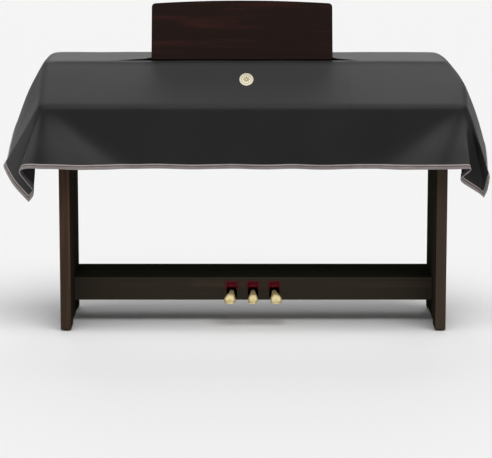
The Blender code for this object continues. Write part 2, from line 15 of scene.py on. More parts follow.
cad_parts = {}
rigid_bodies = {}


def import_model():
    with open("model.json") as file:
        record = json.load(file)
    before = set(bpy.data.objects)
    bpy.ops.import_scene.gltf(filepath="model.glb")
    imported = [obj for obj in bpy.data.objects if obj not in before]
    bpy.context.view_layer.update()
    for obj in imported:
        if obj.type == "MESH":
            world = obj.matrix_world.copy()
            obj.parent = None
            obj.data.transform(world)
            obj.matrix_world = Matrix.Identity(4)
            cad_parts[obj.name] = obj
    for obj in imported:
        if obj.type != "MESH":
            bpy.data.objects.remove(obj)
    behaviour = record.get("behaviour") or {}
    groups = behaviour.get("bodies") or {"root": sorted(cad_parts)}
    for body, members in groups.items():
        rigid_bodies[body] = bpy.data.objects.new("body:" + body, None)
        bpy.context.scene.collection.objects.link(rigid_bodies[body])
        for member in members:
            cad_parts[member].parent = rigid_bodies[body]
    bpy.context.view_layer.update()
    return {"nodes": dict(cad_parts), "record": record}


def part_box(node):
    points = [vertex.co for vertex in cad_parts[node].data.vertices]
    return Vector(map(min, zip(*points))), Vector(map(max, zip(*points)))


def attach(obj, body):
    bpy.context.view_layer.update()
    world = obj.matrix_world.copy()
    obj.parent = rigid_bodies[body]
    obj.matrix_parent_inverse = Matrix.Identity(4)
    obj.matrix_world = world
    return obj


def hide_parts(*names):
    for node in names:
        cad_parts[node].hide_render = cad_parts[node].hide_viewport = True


for thing in list(bpy.data.objects):
    bpy.data.objects.remove(thing)
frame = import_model()
nodes = frame["nodes"]

# %% [markdown]
# ## Camera
# The camera stands straight in front, far off and nearly level, with a long lens, so the piano's
# upright lines stay parallel. Aiming it at a point keeps the numbers few: a turn round the object,
# a height in degrees and a distance.

# %% Camera
CAMERA_TARGET = Vector((-0.0008, 0.0064, 0.300))
CAMERA_AZIMUTH = 0.0
CAMERA_ELEVATION = 9.8
CAMERA_DISTANCE = 7.8
CAMERA_LENS = 173.1


def direction_of(azimuth, height):
    """A unit vector towards a place this many degrees round from the front and this many up."""
    turn, lift = radians(azimuth), radians(height)
    return Vector((sin(turn) * cos(lift), -cos(turn) * cos(lift), sin(lift)))


def aimed(thing, place, target):
    """Puts a camera or a light at a place and turns it to a target."""
    thing.location = place
    thing.rotation_euler = (Vector(target) - Vector(place)).to_track_quat("-Z", "Y").to_euler()
    bpy.context.scene.collection.objects.link(thing)
    return thing


camera_data = bpy.data.cameras.new("camera")
camera_data.lens = CAMERA_LENS
camera_data.clip_end = 200
camera = bpy.data.objects.new("camera", camera_data)
away = direction_of(CAMERA_AZIMUTH, CAMERA_ELEVATION) * CAMERA_DISTANCE
aimed(camera, CAMERA_TARGET + away, CAMERA_TARGET)
bpy.context.scene.camera = camera
print("camera at", [round(x, 3) for x in camera.location])

# %% [markdown]
# ## Small helpers for pieces
# Nearly every mesh here comes out of a bmesh. A piece's object stays at the origin, with its place
# in its mesh, because the export puts every object there before it bakes the materials.

# %% Helpers for pieces


def object_from(name, bm):
    """Ends a bmesh as an object at the origin."""
    mesh = bpy.data.meshes.new(name)
    bm.to_mesh(mesh)
    bm.free()
    piece = bpy.data.objects.new(name, mesh)
    bpy.context.scene.collection.objects.link(piece)
    return piece


def dress(piece, material):
    """Gives a new piece its first material."""
    piece.data.materials.clear()
    piece.data.materials.append(material)


print("helpers for pieces: object_from, dress")

# %% [markdown]
# ## Small helpers for materials
# Materials are node trees. These helpers start a Principled surface with its constant values set on
# its own sockets, add a node, join two sockets, turn a factor into a colour or a number, and lead a
# colour, a roughness or a height to the surface, so that each recipe further down is a few lines.

# %% Helpers for materials


def surface(name, **values):
    """A material with one Principled surface, its constants set on its own sockets."""
    material = bpy.data.materials.new(name)
    material.use_nodes = True
    shader = material.node_tree.nodes["Principled BSDF"]
    for socket, value in values.items():
        shader.inputs[socket.replace("_", " ")].default_value = value
    return material, shader


def add_node(material, kind, settings=(), **inputs):
    """A node of that kind, with some of its settings and inputs given."""
    made = material.node_tree.nodes.new("ShaderNode" + kind)
    for key, value in dict(settings).items():
        setattr(made, key, value)
    for socket, value in inputs.items():
        made.inputs[socket.replace("_", " ")].default_value = value
    return made


def join(source, target):
    """Links one node's output to another's input."""
    source.id_data.links.new(source, target)


def colour_ramp(material, factor, stops):
    """A ramp from this factor through (place, colour) stops."""
    ramp = add_node(material, "ValToRGB")
    elements = ramp.color_ramp.elements
    while len(elements) < len(stops):
        elements.new(0.5)
    for element, (place, colour) in zip(elements, stops):
        element.position = place
        element.color = (*colour, 1)
    join(factor, ramp.inputs["Fac"])
    return ramp.outputs["Color"]


def value_range(material, factor, low, high, from_low=0.0, from_high=1.0):
    """The factor, spread over another range of numbers."""
    ends = {"From_Min": from_low, "From_Max": from_high, "To_Min": low, "To_Max": high}
    made = add_node(material, "MapRange", **ends)
    join(factor, made.inputs["Value"])
    return made.outputs["Result"]


def coat(shader, colour, roughness):
    """Leads a colour and a roughness to the surface."""
    join(colour, shader.inputs["Base Color"])
    join(roughness, shader.inputs["Roughness"])


def add_bump(material, shader, height, strength, distance):
    """Raises the surface by this height, on top of any bump it has already."""
    bump = add_node(material, "Bump", Strength=strength, Distance=distance)
    join(height, bump.inputs["Height"])
    before = shader.inputs["Normal"].links
    if before:
        join(before[0].from_socket, bump.inputs["Normal"])
    join(bump.outputs["Normal"], shader.inputs["Normal"])


print("helpers for materials: surface, add_node, join, colour_ramp, value_range, coat, add_bump")

# %% [markdown]
# ## Floor and light
# The floor is a large pale disc. Its rim is extruded outward and up, so that a low view ends in pale
# floor too. The cloth is dark and its pile catches light at a glancing angle, so the lamps are broad
# suns: one high up, a weaker one behind that makes the top glow and leaves the front flap dark, and
# one from the left. A weak pale sky fills the rest.

# %% Floor, lamps and sky
FLOOR_RADIUS = 28.0
FLOOR_RIM = ((1.0, 0.15), (1.0, 0.6), (0.5, 2.2))  # outward and up, ring by ring
FLOOR_SINK = 0.0005  # so that nothing shares the floor's face
SKY_STRENGTH = 0.23
bpy.context.scene.view_settings.view_transform = "Standard"

floor_mesh = bmesh.new()
bmesh.ops.create_circle(floor_mesh, cap_ends=True, segments=96, radius=FLOOR_RADIUS)
edges = floor_mesh.edges[:]
for outward, up in FLOOR_RIM:
    made = bmesh.ops.extrude_edge_only(floor_mesh, edges=edges)
    edges = [item for item in made["geom"] if isinstance(item, bmesh.types.BMEdge)]
    for vert in {v for edge in edges for v in edge.verts}:
        vert.co += vert.co.xy.normalized().to_3d() * outward + Vector((0, 0, up))
bmesh.ops.recalc_face_normals(floor_mesh, faces=floor_mesh.faces)
if floor_mesh.faces[0].normal.z < 0:
    bmesh.ops.reverse_faces(floor_mesh, faces=floor_mesh.faces)
floor = object_from("floor", floor_mesh)
floor.location.z = -FLOOR_SINK
floor_finish, floor_shader = surface("pale floor", Roughness=0.9)
floor_grain = add_node(floor_finish, "TexNoise", Scale=1.5)
floor_stops = ((0.0, (0.80,) * 3), (1.0, (0.83,) * 3))
floor_colour = colour_ramp(floor_finish, floor_grain.outputs["Fac"], floor_stops)
join(floor_colour, floor_shader.inputs["Base Color"])
dress(floor, floor_finish)

LIGHTS = (
    # name, turn from the front, height in degrees, strength, softness in degrees
    ("top_light", 20, 68, 2.2, 50),
    ("back_light", 180, 35, 0.88, 40),
    ("left_light", -75, 30, 0.4, 50),
)
for name, azimuth, height, strength, softness in LIGHTS:
    light_data = bpy.data.lights.new(name, "SUN")
    light_data.energy = strength
    light_data.angle = radians(softness)
    aimed(bpy.data.objects.new(name, light_data), direction_of(azimuth, height) * 5, (0, 0, 0))

sky = bpy.data.worlds.new("sky")
bpy.context.scene.world = sky
sky.use_nodes = True
background = sky.node_tree.nodes["Background"]
background.inputs["Color"].default_value = (1, 1, 1, 1)
background.inputs["Strength"].default_value = SKY_STRENGTH
print("lights:", [light[0] for light in LIGHTS])

# %% [markdown]
# ## The cloth: its flat cut
# The real cover is one rectangle of cloth with a slit for the music rest. Everything that lies on
# the case is measured from the case itself: a strip along the back that falls a little, the slope
# to the front edge, and a flap of fixed drop on each side.

# %% Sizes of the flat cloth
CLOTH = 0.002
LIFT = 0.003  # from the case to the middle of the cloth
ROOM = 0.001  # a little more at the edges, because smoothing draws the cloth in there
CORNER_RADIUS = 0.012
FRONT_DROP = 0.197
BACK_DROP = 0.200
SIDE_DROP = 0.230
STRIP_DEPTH = 0.190
STRIP_FALL = 0.014
CASE_TOP, CASE_FRONT_TOP = 0.8625, 0.7255

case_low, case_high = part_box("case")
rest_low, rest_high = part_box("music_rest")
MIDDLE = (case_low + case_high) / 2  # of the case, from which all of the cloth is measured
SIDE_EDGE = (case_high.x - case_low.x) / 2 + LIFT + ROOM
BACK_EDGE = (case_high.y - case_low.y) / 2 + LIFT
FRONT_EDGE = -BACK_EDGE - ROOM / 2
TOP_Z = CASE_TOP + LIFT + ROOM / 2
RIDGE_Z = TOP_Z - STRIP_FALL
FRONT_Z = CASE_FRONT_TOP + LIFT + ROOM
RIDGE_Y = BACK_EDGE - STRIP_DEPTH
STRIP_LENGTH = hypot(STRIP_DEPTH, STRIP_FALL)
SLOPE_RUN = RIDGE_Y - FRONT_EDGE
SLOPE_FALL = RIDGE_Z - FRONT_Z
SLOPE_LENGTH = hypot(SLOPE_RUN, SLOPE_FALL)
TOP_LENGTH = STRIP_LENGTH + SLOPE_LENGTH
INNER_SIDE = SIDE_EDGE - CORNER_RADIUS  # where the corners' rounding starts
INNER_END = TOP_LENGTH - CORNER_RADIUS
SLIT_BEFORE_REST = 0.004
SLIT_Y = rest_low.y - MIDDLE.y - SLIT_BEFORE_REST
SLIT_ALONG = (BACK_EDGE - SLIT_Y) / STRIP_DEPTH * STRIP_LENGTH
SLIT = (-0.462, 0.350)
REST_ENDS = (rest_low.x - MIDDLE.x, rest_high.x - MIDDLE.x)
RAIL_INSET = 0.030  # from the end of the rest to the end of the thicker rail behind it
FLAT_WIDTH = 2 * (SIDE_EDGE + SIDE_DROP)

# %% [markdown]
# ## How the cloth hangs at its corners
# Past a corner the flat cloth has a rectangle too much. It folds along straight lines that leave the
# corner, like a fan: each row below is one such line, with its angle in the flat cloth and how far
# it leans. Where the lean swings back, the cloth folds over itself. The side flaps have their own
# short tables, from the front corner to the back one, with a belly where the cloth swells out.

# %% Tables of the drape
CORNER_FOLDS = {
    # each row: cloth angle, degrees sideways, degrees outward
    ("left", "front"): (
        (-55, 0, 1.5), (-42, 0, 11), (-20, 1, 14), (2, 6, 13), (10, 12, 16.5), (18, 18, 15),
        (26, 20.5, 10), (45, 3, 3), (60, 20, 2), (72, 28, -2), (82, 32.2, -7), (90, 31, -13),
    ),
    ("right", "front"): (
        (-55, 0, 1.5), (-40, 0, 12), (-22, 0, 13), (-10, 0, 11), (2, 3, 15),
        (12, 7, 16), (33, -4, -0.5), (50, 14, -8), (70, 18, 7), (90, 18, -12),
    ),
    ("left", "back"): ((-55, 0, 2), (0, 2, 5), (24, 12, 12), (46, 0, -2), (66, 10, 4), (90, 17, 0)),
    ("right", "back"): ((-55, 0, 2), (0, 2, 6), (22, 10, 13), (44, -1, -1), (68, 10, 4), (90, 15, 0)),
}
SIDE_FLAPS = {
    "left": (
        # along, sideways, backward, belly
        (0.00, 30.5, 12, 0.003),
        (0.25, 28.5, 8, 0.005),
        (0.50, 26.5, 3, 0.008),
        (0.75, 22.5, 0, 0.012),
        (1.00, 17, 0, 0.013),
    ),
    "right": (
        (0.00, 18.8, 12, 0.005),
        (0.25, 19.5, 7, 0.005),
        (0.50, 18.5, 2, 0.004),
        (0.75, 15, 0, 0.003),
        (1.00, 12, 0, 0.002),
    ),
}
SHOULDER_FALLS = {"left": (0.030, 0.010), "right": (0.088, 0.068)}  # run and drop
FOLD_ROUNDING = 4  # degrees of cloth angle, to each side, that round a corner fold
FOLD_START, FOLD_END = -0.1, 0.75  # shares of the way down where the folds begin and are full
SIGN = {"left": -1, "right": 1, "front": -1, "back": 1}
DROPS = {"front": FRONT_DROP, "back": BACK_DROP}


def read_table(rows, at):
    """The row's values at this place, by straight lines between rows."""
    if at <= rows[0][0]:
        return rows[0][1:]
    for low, high in zip(rows, rows[1:]):
        if at <= high[0]:
            share = (at - low[0]) / (high[0] - low[0])
            return tuple(a + (b - a) * share for a, b in zip(low[1:], high[1:]))
    return rows[-1][1:]


def smooth_table(rows, at, reach):
    """The same, averaged over a short reach, which rounds every fold."""
    taps = [read_table(rows, at + reach * offset) for offset in (-1, -0.5, 0, 0.5, 1)]
    return tuple(sum(column) / len(taps) for column in zip(*taps))


def ease(share):
    """A soft step from 0 to 1."""
    share = min(1.0, max(0.0, share))
    return share * share * (3 - 2 * share)


print("corner folds:", {key: len(rows) for key, rows in CORNER_FOLDS.items()})

# %% [markdown]
# ## Laying the top
# The next cells say where a point of the flat cloth comes to lie. Because they start from the flat
# cut, the weave keeps its scale and the hem its width. A cloth simulation was the other way, but
# folds that must lie in known places are easier to lay one by one. On the top the cloth follows the
# case, droops at its shoulders, and is spread at the slit by the music rest and its rail.

# %% The cloth on the top
SLIT_FORWARD = 0.004  # how far the slit's front lip is drawn
SLIT_BACKWARD, SLIT_RISE = 0.042, 0.0101  # the same for its back lip, which the rail lifts
SLIT_REACH = 0.03  # how far in front of the slit the cloth is drawn along


def shoulder_height(x):
    """How high the top can lie here, where it droops towards its ends."""
    run, drop = SHOULDER_FALLS["left" if x < 0 else "right"]
    return TOP_Z - drop * max(0.0, 1 - (SIDE_EDGE - abs(x)) / run) ** 2


def top_point(x, along):
    """A point of the cloth on the top: along runs from the back edge to the front edge."""
    if along < STRIP_LENGTH:
        share = along / STRIP_LENGTH
        y = BACK_EDGE - STRIP_DEPTH * share
        z = TOP_Z - STRIP_FALL * share
    else:
        share = (along - STRIP_LENGTH) / SLOPE_LENGTH
        y = RIDGE_Y - SLOPE_RUN * share
        z = RIDGE_Z - SLOPE_FALL * share
    return Vector((x, y, min(z, shoulder_height(x))))


def slit_opening(x):
    """How far the slit is spread: a little beyond the rest, more behind it, fully at its rail."""
    slit_end, rest_end = (SLIT[0], REST_ENDS[0]) if x < 0 else (SLIT[1], REST_ENDS[1])
    outside = (x - slit_end) / (rest_end - slit_end)
    inside = (abs(rest_end) - abs(x)) / RAIL_INSET
    return 0.40 * ease(outside / 0.8) + 0.33 * ease((outside - 0.8) / 0.2) + 0.27 * ease(inside)


def spread_top_point(x, along, lip):
    """A point of the top, with the slit's front or back lip drawn aside by the rest."""
    point = top_point(x, along)
    spread = slit_opening(x)
    if lip == "front":
        point.y -= SLIT_FORWARD * spread * ease(1 - (along - SLIT_ALONG) / SLIT_REACH)
    else:
        near = along / SLIT_ALONG
        point.y += SLIT_BACKWARD * spread * near
        point.z += SLIT_RISE * spread * near**3
    return point


print("share of the slit's full spread at its middle:", round(slit_opening(0.0), 2))

# %% [markdown]
# ## Laying the corners
# Every point past a corner lies on a ray of the fan. The ray starts as part of a plain cone, and the
# folds open on the way down, because real cloth is tight at the corner and free at its hem.

# %% The cloth past a corner


def hanging_direction(side, end, sideways, outward):
    """A unit vector that hangs this many degrees off plumb to the side and out from a flap."""
    lean = Vector((SIGN[side] * tan(radians(sideways)), SIGN[end] * tan(radians(outward)), -1))
    return lean.normalized()


def corner_length(end, cloth_angle):
    """How far the cloth reaches along this ray of its corner."""
    turn = radians(cloth_angle)
    down = (DROPS[end] + CORNER_RADIUS) / max(0.001, cos(turn))
    across = (SIDE_DROP + CORNER_RADIUS) / max(0.001, sin(turn))
    return min(down, across) - CORNER_RADIUS


def belly_offset(side, sideways, belly, share):
    """How far a flap bulges off its straight line, part of the way down it."""
    outward = Vector((SIGN[side] * cos(radians(sideways)), 0, sin(radians(sideways))))
    return outward * belly * 4 * share * (1 - share)


def fold_lean(side, end, cloth_angle, share):
    """How far the cloth leans on this line: part of a cone at the corner, folds at the hem."""
    rows = CORNER_FOLDS[side, end]
    folded = smooth_table(rows, cloth_angle, FOLD_ROUNDING)
    turned = ease((cloth_angle - rows[0][0]) / (rows[-1][0] - rows[0][0]))
    opened = ease((share - FOLD_START) / (FOLD_END - FOLD_START))
    plain = (a + (b - a) * turned for a, b in zip(rows[0][1:], rows[-1][1:]))
    return tuple(a + (b - a) * opened for a, b in zip(plain, folded))


def corner_point(side, end, cloth_angle, reach, start):
    """A point of a corner, this far down the ray that leaves the top at start."""
    length = corner_length(end, cloth_angle)
    lean = fold_lean(side, end, cloth_angle, reach / length)
    belly = 0.0
    if cloth_angle > 45:
        belly = SIDE_FLAPS[side][0 if end == "front" else -1][3] * ease((cloth_angle - 45) / 45)
    point = start + reach * hanging_direction(side, end, *lean)
    return point + belly_offset(side, lean[0], belly, reach / length)


print("a corner ray at 45 degrees is", round(corner_length("front", 45), 3), "m long")

# %% [markdown]
# ## Laying the flaps
# The front and back flaps hang almost straight down from their edge, with a slow ripple that dies
# out near the corner folds. The side flaps swing out, and lean to the back near the front corner.

# %% The flaps
RIPPLES = ((0.0025, 9.0, 0.0), (0.0015, 23.0, 1.0))  # height, per metre, start
RIPPLE_FADE = 15  # degrees of cloth angle


def back_hang_height(side, across, share):
    """The height the back flap hangs from: a shoulder's drop spreads along it on the way down."""
    run = SHOULDER_FALLS[side][0]
    corner_height = shoulder_height(SIGN[side] * INNER_SIDE)
    spread = min(1.0, across / (run - CORNER_RADIUS + 1.2 * BACK_DROP * share))
    sharp = shoulder_height(SIGN[side] * (INNER_SIDE - across))
    soft = corner_height + (TOP_Z - corner_height) * (1 - (1 - spread) ** 2)
    return sharp + (soft - sharp) * ease(2 * share)


def flap_point(end, x, reach):
    """A point of the front or back flap, which hangs from x on the top's edge."""
    side = "left" if x < 0 else "right"
    across = INNER_SIDE - abs(x)
    cloth_angle = -degrees(atan2(across, reach)) if reach > 0 else -90.0
    share = reach / DROPS[end]
    first = CORNER_FOLDS[side, end][0][0]
    sideways, outward = fold_lean(side, end, max(first, cloth_angle), share)
    hanging = top_point(x, 0 if end == "back" else TOP_LENGTH)
    if end == "back":
        hanging.z = back_hang_height(side, across, share)
    calm = ease((first - cloth_angle) / RIPPLE_FADE)
    ripple = sum(height * sin(x * rate + start) for height, rate, start in RIPPLES)
    hanging += hanging_direction(side, end, 0, outward) * reach
    hanging.x += SIGN[side] * sin(radians(sideways)) * reach
    hanging.y += SIGN[end] * ripple * calm * ease(share)
    return hanging


def side_point(side, share, reach):
    """A point of a side flap: share runs from the front corner to the back corner."""
    sideways, backward, belly = smooth_table(SIDE_FLAPS[side], share, 0.06)
    along = INNER_END - (TOP_LENGTH - 2 * CORNER_RADIUS) * share
    edge = top_point(SIGN[side] * SIDE_EDGE, along)
    direction = hanging_direction(side, "back", sideways, backward)
    return edge + direction * reach + belly_offset(side, sideways, belly, reach / SIDE_DROP)


print("side flaps swing out by", [SIDE_FLAPS[side][2][1] for side in SIDE_FLAPS], "degrees")

# %% [markdown]
# ## Laying the whole sheet
# One function now chooses between the top, a flap and a corner by how far a point of the flat cloth
# lies past the top's edges.

# %% The whole sheet


def past_edges(across, along):
    """The side and end that a point of the flat cloth is nearest to, and how far it is past each."""
    side = "left" if across < 0 else "right"
    end = "back" if along < TOP_LENGTH / 2 else "front"
    beyond = CORNER_RADIUS - along if end == "back" else along - INNER_END
    return side, end, abs(across) - INNER_SIDE, beyond


def laid(across, along, lip):
    """Where a point of the flat cloth lies: across from the middle, along from the back edge."""
    side, end, aside, beyond = past_edges(across, along)
    if aside > 0 and beyond > 0 and hypot(aside, beyond) > CORNER_RADIUS:
        cloth_angle = degrees(atan2(aside, beyond))
        scale = CORNER_RADIUS / hypot(aside, beyond)
        rim_along = CORNER_RADIUS - beyond * scale
        start = top_point(
            SIGN[side] * (INNER_SIDE + aside * scale),
            rim_along if end == "back" else TOP_LENGTH - rim_along,
        )
        point = corner_point(side, end, cloth_angle, hypot(aside, beyond) - CORNER_RADIUS, start)
    elif aside > CORNER_RADIUS:
        share = (INNER_END - along) / (TOP_LENGTH - 2 * CORNER_RADIUS)
        point = side_point(side, share, aside - CORNER_RADIUS)
    elif beyond > CORNER_RADIUS:
        point = flap_point(end, across, beyond - CORNER_RADIUS)
    else:
        point = spread_top_point(across, along, lip)
    return point + Vector((MIDDLE.x, MIDDLE.y, 0))


tip = laid(-SIDE_EDGE - SIDE_DROP, TOP_LENGTH + FRONT_DROP, "")
print("the left front corner's tip hangs at z =", round(tip.z, 3))

# %% [markdown]
# ## Painted light on the corners and the slope
# The cloth is given a paler colour where the lit cloth looks paler. This is painted light on the
# facets round each corner that turn towards the light, with darker valleys between them, and on the
# slope. So each point gets a share of that painted light from tables like those of the drape: one
# for every corner, by the ray the point is on, and one for the slope, by how far across it is.

# %% Tables of the painted light
# painted light: the corner tables make facets that face the light paler in colour
CORNER_PAINTED_LIGHT = {
    # each row: cloth angle, share of painted light there
    ("left", "front"): (
        (-57, 0), (-42, 0.7), (-14, 0.7), (-6, 0.3), (0, 0), (5, 0), (12, 1),
        (26, 1), (34, 0), (42, 0), (50, 1), (70, 1), (90, 0.6),
    ),
    ("right", "front"): (
        (-57, 0), (-40, 0.7), (-26, 0.7), (-18, 0.2), (-8, 0.8),
        (5, 1), (18, 1), (28, 0.2), (60, 0.1), (90, 0.1),
    ),
    ("left", "back"): ((-57, 0), (-20, 0.8), (20, 1), (40, 0.2), (70, 0.8), (90, 0.8)),
    ("right", "back"): ((-57, 0), (-20, 0.8), (20, 1), (40, 0.2), (70, 0.8), (90, 0.6)),
}
# painted light: the slope is made paler in colour, by how far across it is
SLOPE_PAINTED_LIGHT = (
    # across, at the slope's upper and lower end
    (-0.70, 0.76, 0.28),
    (-0.45, 0.76, 0.30),
    (-0.30, 0.62, 0.42),
    (0.20, 0.62, 0.42),
    (0.42, 0.95, 0.62),
    (0.66, 0.95, 0.62),
)
PAINTED_LIGHT_START = 0.07  # how far past an edge the corner's table holds in full
SIDE_FADE = 0.15  # how far along a side flap it fades


def painted_light_share_at(across, along):
    """The share of painted light at a point of the flat cloth, from 0 to 1."""
    side, end, aside, beyond = past_edges(across, along)
    down = (along - STRIP_LENGTH) / SLOPE_LENGTH
    upper, lower = smooth_table(SLOPE_PAINTED_LIGHT, across, 0.08)
    on_slope = (upper + (lower - upper) * down) * ease(down / 0.12) * ease((1 - down) / 0.10)
    if max(aside, beyond) < CORNER_RADIUS:
        return on_slope
    (at_corner,) = smooth_table(CORNER_PAINTED_LIGHT[side, end], degrees(atan2(aside, max(beyond, 0.0))), 5)
    away = ease((max(aside, beyond) - CORNER_RADIUS) / PAINTED_LIGHT_START)
    if beyond > 0:
        return at_corner * away
    fade = 1 - 0.8 * ease(-beyond / SIDE_FADE)
    return on_slope * (1 - away) + at_corner * away * fade


print("pile tables:", {key: len(rows) for key, rows in CORNER_PAINTED_LIGHT.items()})

# %% [markdown]
# ## Cutting
# The flat cloth starts as one plane that is cut along every line of a grid, closer than a finger's
# width, with lines exactly on the slit, the edges and the inner border of the hem. Splitting the
# edges on the slit opens it, as scissors do.

# %% Cut the flat cloth
CELL = 0.0078  # the most between two lines of the grid
HEM = 0.0155  # width of the binding
FLAT_LOW = (-FLAT_WIDTH / 2, -BACK_DROP)
FLAT_HIGH = (FLAT_WIDTH / 2, TOP_LENGTH + FRONT_DROP)


def grid_lines(axis, *marks):
    """The grid's lines on one axis, with one on each mark and on each border of the hem."""
    low, high = FLAT_LOW[axis], FLAT_HIGH[axis]
    marks = (low, low + HEM, *marks, high - HEM, high)
    lines = [low]
    for start, end in zip(marks, marks[1:]):
        count = ceil((end - start) / CELL)
        lines += [start + (end - start) * i / count for i in range(1, count + 1)]
    return lines


ACROSS_PLACES = grid_lines(0, -SIDE_EDGE, *SLIT, SIDE_EDGE)
ALONG_PLACES = grid_lines(1, 0, SLIT_ALONG, TOP_LENGTH)


def flat_corners(inset=0.0):
    """The four corners of the flat cloth, or of a line that runs round this far inside its hem."""
    low = (FLAT_LOW[0] + inset, FLAT_LOW[1] + inset)
    high = (FLAT_HIGH[0] - inset, FLAT_HIGH[1] - inset)
    return [low, (high[0], low[1]), high, (low[0], high[1])]


def flat_cloth():
    """The flat cloth as a bmesh, with across as x and along as y, and its slit cut open."""
    bm = bmesh.new()
    bm.faces.new([bm.verts.new((*corner, 0)) for corner in flat_corners()])
    for places, normal in ((ACROSS_PLACES, Vector((1, 0, 0))), (ALONG_PLACES, Vector((0, 1, 0)))):
        for place in places[1:-1]:
            everything = bm.verts[:] + bm.edges[:] + bm.faces[:]
            bmesh.ops.bisect_plane(bm, geom=everything, plane_co=normal * place, plane_no=normal)
    on_slit = [
        edge
        for edge in bm.edges
        if all(abs(v.co.y - SLIT_ALONG) < 1e-5 for v in edge.verts)
        and SLIT[0] < (edge.verts[0].co.x + edge.verts[1].co.x) / 2 < SLIT[1]
    ]
    bmesh.ops.split_edges(bm, edges=on_slit)
    return bm


cloth = flat_cloth()
print("flat cloth cut into", len(cloth.faces), "cells")

# %% [markdown]
# ## Unevenness
# Real cloth never lies quite smooth. Slow noise of two sizes moves it in and out a little, more on
# the flaps than on the top, and one faint crease is left from packing.

# %% Unevenness of the cloth
UNEVEN = ((5.0, 0.0016, 0.3), (13.0, 0.0007, 4.1))  # per metre, height, seed
PRESS_FOLD = (0.314, 0.0020, 0.010)  # across, height and half width of a crease left by packing


def unevenness(across, along):
    """How far the cloth stands off its laid shape here."""
    total = sum(
        height * noise.noise(Vector((across * scale, along * scale, seed)))
        for scale, height, seed in UNEVEN
    )
    on_top = abs(across) < SIDE_EDGE and 0 < along < TOP_LENGTH
    place, height, half = PRESS_FOLD
    crease = height * max(0.0, 1 - abs(across - place) / half) if SLIT_ALONG < along else 0.0
    return total * (0.6 if on_top else 1.6) + crease


print("the cloth stands off by", round(1000 * unevenness(0.3, 0.3), 2), "mm at one point")

# %% [markdown]
# ## Draping
# Each point of the flat cloth moves to its place, but first its flat place is kept as a UV map, and
# its distance from the hem and its share of painted light as attributes, which the materials read. A
# little smoothing rounds the creases, more of it near the edges. Then the unevenness goes on along
# the normals, and the front hem gets a wave of its own.

# %% Drape it
SMOOTHINGS = 2
EDGE_SMOOTHINGS = 7
EDGE_REACH = 0.032  # from an edge to where the extra smoothing ends
HEM_WAVE = (8.0, 0.0040, 7.7)  # per metre, height, seed


def smooth(verts, times):
    """Draws each of these points towards its neighbours, so many times."""
    for _ in range(times):
        bmesh.ops.smooth_vert(
            cloth, verts=verts, factor=0.5, use_axis_x=True, use_axis_y=True, use_axis_z=True
        )


def near_edge(across, along):
    """Whether the cloth turns over an edge of the case near here."""
    at_ends = abs(along - TOP_LENGTH) < EDGE_REACH or abs(along) < EDGE_REACH / 2
    return at_ends or abs(abs(across) - SIDE_EDGE) < EDGE_REACH


uv = cloth.loops.layers.uv.new("flat")
from_hem = cloth.verts.layers.float.new("from_hem")
painted_light = cloth.verts.layers.float.new("painted_light")
for face in cloth.faces:
    for loop in face.loops:
        loop[uv].uv = loop.vert.co.xy
flat_places = {}
for vert in cloth.verts:
    across, along = vert.co.xy
    vert[from_hem] = min(
        across - FLAT_LOW[0], FLAT_HIGH[0] - across, along - FLAT_LOW[1], FLAT_HIGH[1] - along
    )
    faces_y = [face.calc_center_median().y for face in vert.link_faces]
    lip = "front" if sum(faces_y) / len(faces_y) > SLIT_ALONG else "back"
    flat_places[vert] = (across, along, lip)
    # painted light: each point keeps its share of the paler painted colour
    vert[painted_light] = painted_light_share_at(across, along)
for vert, place in flat_places.items():
    vert.co = laid(*place)
inner = [vert for vert in cloth.verts if not vert.is_boundary]
smooth(inner, SMOOTHINGS)
smooth([vert for vert in inner if near_edge(*flat_places[vert][:2])], EDGE_SMOOTHINGS)
bmesh.ops.reverse_faces(cloth, faces=cloth.faces)  # along runs against Y, which turned them over
cloth.normal_update()
scale, wave, seed = HEM_WAVE
for vert, (across, along, _) in flat_places.items():
    vert.co += vert.normal * unevenness(across, along)
    near_hem = ease((along - TOP_LENGTH) / FRONT_DROP) * ease((SIDE_EDGE - abs(across)) / 0.1)
    vert.co.z += wave * noise.noise(Vector((across * scale, 0, seed))) * near_hem
print("draped:", len(cloth.verts), "points")

# %% [markdown]
# ## Cloth and binding
# The cloth gets its thickness from Solidify, which can also give the inner face its own material:
# the outside has a short pile with a little sheen, and the inside is a dark lining with none. The
# edge is bound with a woven tape. It is the outer border of the same sheet, a little thicker, so it
# follows every fold.

# %% Cloth and binding
TAPE_PROUD = 0.0007  # on each face
HAIR = 1e-4  # less than anything that is sewn
cloth_copy = cloth.copy()
hem_layer = cloth_copy.verts.layers.float["from_hem"]
inside = [face for face in cloth_copy.faces if min(v[hem_layer] for v in face.verts) > HEM - HAIR]
bmesh.ops.delete(cloth_copy, geom=inside, context="FACES")


def two_faced(piece, thickness):
    """Thickness on both sides of a sheet, with its second material on the inner face."""
    solid = piece.modifiers.new("thickness", "SOLIDIFY")
    solid.thickness = thickness
    solid.offset = 0
    solid.material_offset = 1
    piece.data.shade_smooth()


draped = {}  # for the stitches: the place and normal where two lines of the grid cross
for vert, (across, along, _) in flat_places.items():
    crossing = bisect(ACROSS_PLACES, across + HAIR), bisect(ALONG_PLACES, along + HAIR)
    draped[crossing] = (vert.co.copy(), vert.normal.copy())
cover = object_from("cover_cloth", cloth)
two_faced(cover, CLOTH)
binding = object_from("cover_binding", cloth_copy)
two_faced(binding, CLOTH + 2 * TAPE_PROUD)
print("cells in the cloth:", len(cover.data.polygons), "and binding:", len(binding.data.polygons))

# %% [markdown]
# ## Stitches
# Three rows of pale thread hold the tape, and short rungs join the lower two, as a cover-stitch
# machine sews them. Each stitch is a small low sphere stretched between two points of the draped
# cloth, found in the flat cloth first, so the rows run true round every fold.

# %% One stitch
THREAD = 0.00050  # radius


